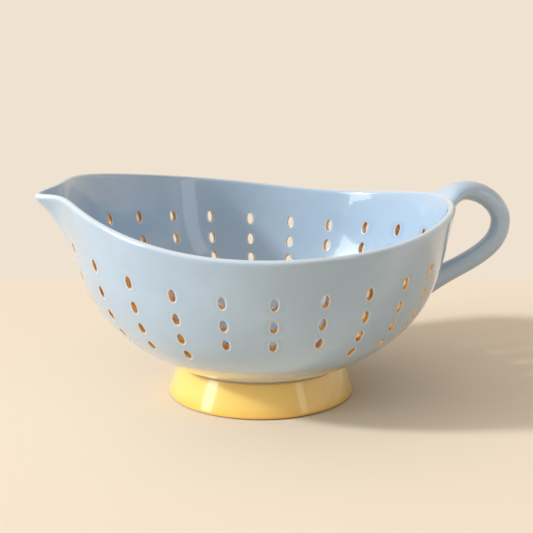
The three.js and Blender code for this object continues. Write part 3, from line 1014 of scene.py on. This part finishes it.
def blue_finish(colours):
    """Glossy blue glaze, deeper round the holes, pale on the lip and hole edges as thin glaze and painted
    highlight, with ochre clay in the holes that also paints warm reflected light
    """
    material, sockets = new_finish("Blue glaze")
    tree = material.node_tree
    cloud = ramp_range(tree, noise(tree, scale=14.0, detail=4.0), low=0.3, high=0.7)
    pooled = ramp_range(tree, shader_field(tree, "hole_share"), low=0.45, high=0.9)
    glaze = mix_colour(tree, larger(cloud, HOLE_POOL * pooled), colours.blue, colours.blue_deep)
    # Lip and hole rims pale towards near-white: glaze breaking thin, and a painted highlight
    thin = ramp_range(tree, shader_field(tree, "glaze_edge"), low=0.3, high=1.0)
    glaze = mix_colour(tree, PALE_EDGE_HIGHLIGHT * thin, glaze, colours.pale)
    # Ochre throats of the holes: bare clay, its warmth also a painted reflection of warm light
    bare = ramp_range(tree, shader_field(tree, "glaze_bare"), low=0.35, high=0.8)
    smoke = ramp_range(tree, noise(tree, scale=190.0, detail=3.0), low=0.35, high=0.7)
    clay = mix_colour(tree, smoke, colours.ochre, colours.umber)
    tree.links.new(mix_colour(tree, bare, glaze, clay), sockets["Base Color"])
    glass_surface(tree, sockets, colours, bare, scale=55.0, depth=0.00012)
    return material


def yellow_finish(colours):
    """Glossy yellow glaze, deeper towards its pooled lower edge, over a dark bare clay ring that paints the
    contact shadow underneath
    """
    material, sockets = new_finish("Yellow glaze")
    tree = material.node_tree
    height = object_height(tree)
    wander = noise(tree, scale=40.0, detail=3.0) - 0.5
    pooled = 1 - ramp_range(tree, height + POOL_WANDER * wander, *POOL_HEIGHTS)
    cloud = ramp_range(tree, noise(tree, scale=22.0, detail=4.0), low=0.3, high=0.75)
    glaze = mix_colour(tree, larger(FOOT_POOL * pooled, FOOT_CLOUDS * cloud), colours.yellow, colours.honey)
    # Bare clay ring at the bottom edge, darkened and widened as a painted contact shadow
    bare = 1 - ramp_range(tree, height + BARE_RING_SHADOW_WANDER * wander, *BARE_RING_SHADOW_HEIGHTS)
    tree.links.new(mix_colour(tree, bare, glaze, colours.clay), sockets["Base Color"])
    glass_surface(tree, sockets, colours, bare, scale=70.0, depth=0.0001)
    return material


def slip_finish(colours):
    """Glazed slip in the joint of foot and bowl"""
    material, sockets = new_finish("Slip glaze")
    tree = material.node_tree
    cloud = ramp_range(tree, noise(tree, scale=90.0, detail=3.0), low=0.3, high=0.7)
    glaze = mix_colour(tree, SLIP_CLOUDS * cloud, colours.slip, colours.blue_deep)
    tree.links.new(glaze, sockets["Base Color"])
    glass_surface(tree, sockets, colours, bare=0.0, scale=90.0, depth=0.0001)
    return material


def finish_named(name, make):
    """A finish that several pieces share, made once"""
    return bpy.data.materials.get(name) or make()


def blue_glaze():
    return finish_named("Blue glaze", lambda: blue_finish(bpy.context.scene.colander.glaze))


# Stage

STAGE_SIZE = 1.6
WINDOW_SIZE = (0.68, 1.95)
WINDOW_PLACE = (-2.25, -0.9, 0.93)
CARD_SIZE = (0.38, 1.35)
CARD_PLACE = (1.73, -1.28, 0.75)
SCREEN_SIZE = (2.55, 0.6)
SCREEN_PLACE = (1.95, 0.15, 0.48)
ROOM_BRIGHT = (-0.4, -0.05, 0.9)
ROOM_FADE = (-0.3, 1.0)


def paper_finish(shade):
    """Plain paper without any gloss"""
    material, sockets = new_finish("Stage paper")
    sockets["Base Color"].default_value = (*shade, 1.0)
    sockets["Roughness"].default_value = 1.0
    sockets["Specular IOR Level"].default_value = 0.0
    return material


def stage_sheet(stage):
    """A plain floor that ends a little way behind the colander, as the camera sees it"""
    corners = [(x, y, 0.0) for y in (-STAGE_SIZE, stage.floor_end) for x in (-STAGE_SIZE, STAGE_SIZE)]
    mesh = bpy.data.meshes.new("stage_sheet")
    mesh.from_pydata(corners, [], [(0, 1, 3, 2)])
    mesh.materials.append(paper_finish(stage.paper))
    return mesh


def photo_camera(stage, aim, away):
    """The camera at the photograph's viewing angle"""
    back = Vector((0, 0, math.sin(stage.elevation))) - away * math.cos(stage.elevation)
    lens = bpy.data.cameras.new("photo_camera")
    lens.lens = stage.lens
    camera = bpy.data.objects.new("photo_camera", lens)
    camera.location = aim + back * stage.distance
    camera.rotation_euler = (-back).to_track_quat("-Z", "Y").to_euler()
    bpy.context.scene.collection.objects.link(camera)
    bpy.context.scene.camera = camera


def key_light(stage, right, away):
    """Soft sun from the left of the camera's view"""
    lamp = bpy.data.lights.new("key_light", "SUN")
    lamp.color = stage.key
    lamp.energy = stage.key_strength
    lamp.angle = stage.key_spread
    level = -away * math.sin(stage.key_side) - right * math.cos(stage.key_side)
    source = level * math.cos(stage.key_height) + Vector((0, 0, math.sin(stage.key_height)))
    light = bpy.data.objects.new("key_light", lamp)
    light.location = source
    light.rotation_euler = (-source).to_track_quat("-Z", "Y").to_euler()
    bpy.context.scene.collection.objects.link(light)


def soft_window(name, power, stage, aim, size, location):
    """Soft light that faces the colander and shows in its glaze"""
    lamp = bpy.data.lights.new(name, "AREA")
    lamp.shape = "RECTANGLE"
    lamp.size, lamp.size_y = size
    lamp.color = stage.key
    lamp.energy = power
    light = bpy.data.objects.new(name, lamp)
    light.location = location
    light.rotation_euler = (aim - location).to_track_quat("-Z", "Y").to_euler()
    bpy.context.scene.collection.objects.link(light)


def soft_room(stage, bright_side):
    """Soft light from all round, stronger on one side, and a plain pale wall to look at behind the floor"""
    world = bpy.data.worlds.new("soft_room")
    world.use_nodes = True
    tree = world.node_tree
    fill = tree.nodes["Background"]
    fill.inputs["Color"].default_value = (*stage.fill, 1.0)
    where = add_node(tree, "ShaderNodeTexCoord")
    facing = add_node(tree, "ShaderNodeVectorMath", {
        0: where.outputs["Generated"], 1: bright_side}, operation="DOT_PRODUCT")
    bright = ramp_range(tree, Field(tree, facing.outputs["Value"]), *ROOM_FADE)
    strength = stage.fill_low + (stage.fill_high - stage.fill_low) * bright
    tree.links.new(strength.socket, fill.inputs["Strength"])
    wall = add_node(tree, "ShaderNodeBackground", {"Color": (*stage.wall, 1.0), "Strength": 1.0})
    path = add_node(tree, "ShaderNodeLightPath")
    direct, mirrored, through = (Field(tree, path.outputs[f"Is {kind} Ray"])
                                 for kind in ("Camera", "Glossy", "Transmission"))
    seen = add_node(tree, "ShaderNodeMixShader", {
        0: larger(larger(direct, mirrored), through), 1: fill.outputs[0], 2: wall.outputs[0]})
    tree.links.new(seen.outputs[0], tree.nodes["World Output"].inputs["Surface"])
    bpy.context.scene.world = world


# Operators

class COLANDER_OT_bowl(bpy.types.Operator):
    """Make the perforated bowl with its lip, spout, drain holes and floor"""
    bl_idname = "colander.bowl"
    bl_label = "Bowl"

    def execute(self, context):
        settings = context.scene.colander
        glaze = blue_glaze()
        strips = wall_strips(settings)
        piece = new_piece("glazed_bowl", bpy.data.meshes.new("glazed_bowl"))
        tree, bowl, holes = bowl_tree(settings, strips, glaze)
        modifier = piece.modifiers.new("Perforated bowl", "NODES")
        modifier.node_group = tree
        bowl.set_on(modifier, settings.bowl)
        holes.set_on(modifier, settings.holes)
        mesh = evaluated_mesh(piece, glaze)
        piece.modifiers.clear()
        piece.data = mesh
        for strip in list(strips.objects):
            bpy.data.objects.remove(strip)
        bpy.data.collections.remove(strips)
        dress(piece, "blue_glaze", "bowl")
        return {"FINISHED"}


class COLANDER_OT_handle(bpy.types.Operator):
    """Make the loop handle and the fillets of slip at its two roots"""
    bl_idname = "colander.handle"
    bl_label = "Handle"

    def execute(self, context):
        settings = context.scene.colander
        bowl, sizes = settings.bowl, settings.handle
        form = HandleForm(bowl, sizes)
        upper_starts, upper_lands, upper_outs = root_lines(bowl, form, sizes.upper_ease, True)
        lower_starts, lower_lands, lower_outs = root_lines(bowl, form, sizes.lower_ease, False)
        upper = root_rings(form, upper_starts, upper_lands, sizes.upper_ease)
        lower = root_rings(form, lower_starts, lower_lands, sizes.lower_ease)
        body = []
        for i in range(HANDLE_STEPS + 1):
            along = upper_starts + (lower_starts - upper_starts) * i / HANDLE_STEPS
            body.append(form.points(along, handle_turns()))
        shift = np.array([AXIS_X, 0, 0])
        rings = [ring + shift for ring in [*reversed(upper), *body, *lower]]
        handle = new_piece("loop_handle", ring_mesh("loop_handle", rings, blue_glaze()))
        dress(handle, "blue_glaze", "handle")
        for end, ends, lands, outs in (("upper", upper, upper_lands, upper_outs),
                                       ("lower", lower, lower_lands, lower_outs)):
            bead = [ring + shift for ring in slip_bead(bowl, ends, lands, outs, sizes.slip_bead)]
            if end == "upper":
                bead.reverse()
            name = f"{end}_handle_slip"
            slip = new_piece(name, ring_mesh(name, bead, blue_glaze(), closed=True))
            dress(slip, "slip", f"handle_{end}_slip_joint")
        return {"FINISHED"}


class COLANDER_OT_foot(bpy.types.Operator):
    """Make the flared ring foot and the ring of slip that lutes it to the bowl"""
    bl_idname = "colander.foot"
    bl_label = "Foot"

    def execute(self, context):
        settings = context.scene.colander
        bowl, sizes, colours = settings.bowl, settings.foot, settings.glaze
        yellow = finish_named("Yellow glaze", lambda: yellow_finish(colours))
        profile = foot_profile(bowl, sizes)
        ring = new_piece("flared_foot", lathe_mesh("flared_foot", profile, sizes.sides, yellow))
        dress(ring, "yellow_glaze", "foot_ring")
        glazed_slip = finish_named("Slip glaze", lambda: slip_finish(colours))
        profile = foot_slip_profile(bowl, sizes)
        slip = new_piece("foot_slip", lathe_mesh("foot_slip", profile, sizes.sides, glazed_slip))
        dress(slip, "slip", "foot_slip_joint")
        return {"FINISHED"}


class COLANDER_OT_stage(bpy.types.Operator):
    """Make the camera, the plain floor and the soft light"""
    bl_idname = "colander.stage"
    bl_label = "Stage"

    def execute(self, context):
        scene = context.scene
        stage = scene.colander.stage
        axis = Vector((AXIS_X, 0, 0))
        right = Vector((math.cos(stage.azimuth), -math.sin(stage.azimuth), 0))
        away = Vector((math.sin(stage.azimuth), math.cos(stage.azimuth), 0))
        aim = axis + right * stage.aim_right + Vector((0, 0, stage.aim_height))
        photo_camera(stage, aim, away)
        floor = new_piece("stage_sheet", stage_sheet(stage))
        floor.rotation_euler.z = -stage.azimuth
        key_light(stage, right, away)
        to_world = Matrix((right, away, (0, 0, 1))).transposed()
        for name, power, size, place in (("window_light", stage.window_power, WINDOW_SIZE, WINDOW_PLACE),
                                         ("card_light", stage.card_power, CARD_SIZE, CARD_PLACE),
                                         ("screen_light", stage.screen_power, SCREEN_SIZE, SCREEN_PLACE)):
            soft_window(name, power, stage, aim, size, to_world @ Vector(place))
        soft_room(stage, (to_world @ Vector(ROOM_BRIGHT)).normalized())
        scene.view_settings.view_transform = "Standard"
        return {"FINISHED"}


class COLANDER_PT_panel(bpy.types.Panel):
    """The colander's pieces and settings in the sidebar"""
    bl_idname = "COLANDER_PT_panel"
    bl_label = "Pedestal Colander"
    bl_space_type = "VIEW_3D"
    bl_region_type = "UI"
    bl_category = "Colander"

    def draw(self, context):
        settings = context.scene.colander
        for operator in PIECE_OPERATORS:
            self.layout.operator(operator.bl_idname)
        for name in type(settings).__annotations__:
            box = self.layout.box()
            box.label(text=name.capitalize())
            group = getattr(settings, name)
            for key in type(group).__annotations__:
                box.prop(group, key)


PIECE_OPERATORS = (COLANDER_OT_stage, COLANDER_OT_bowl, COLANDER_OT_handle, COLANDER_OT_foot)
CLASSES = (BowlSizes, HoleSizes, HandleSizes, FootSizes, GlazeColours, StageSettings, ColanderSettings,
           *PIECE_OPERATORS, COLANDER_PT_panel)


def register():
    for item in CLASSES:
        bpy.utils.register_class(item)
    bpy.types.Scene.colander = bpy.props.PointerProperty(type=ColanderSettings)


def unregister():
    del bpy.types.Scene.colander
    for item in reversed(CLASSES):
        bpy.utils.unregister_class(item)


def main():
    register()
    bpy.ops.colander.stage()
    bpy.ops.colander.bowl()
    bpy.ops.colander.handle()
    bpy.ops.colander.foot()


if __name__ == "__main__":
    main()
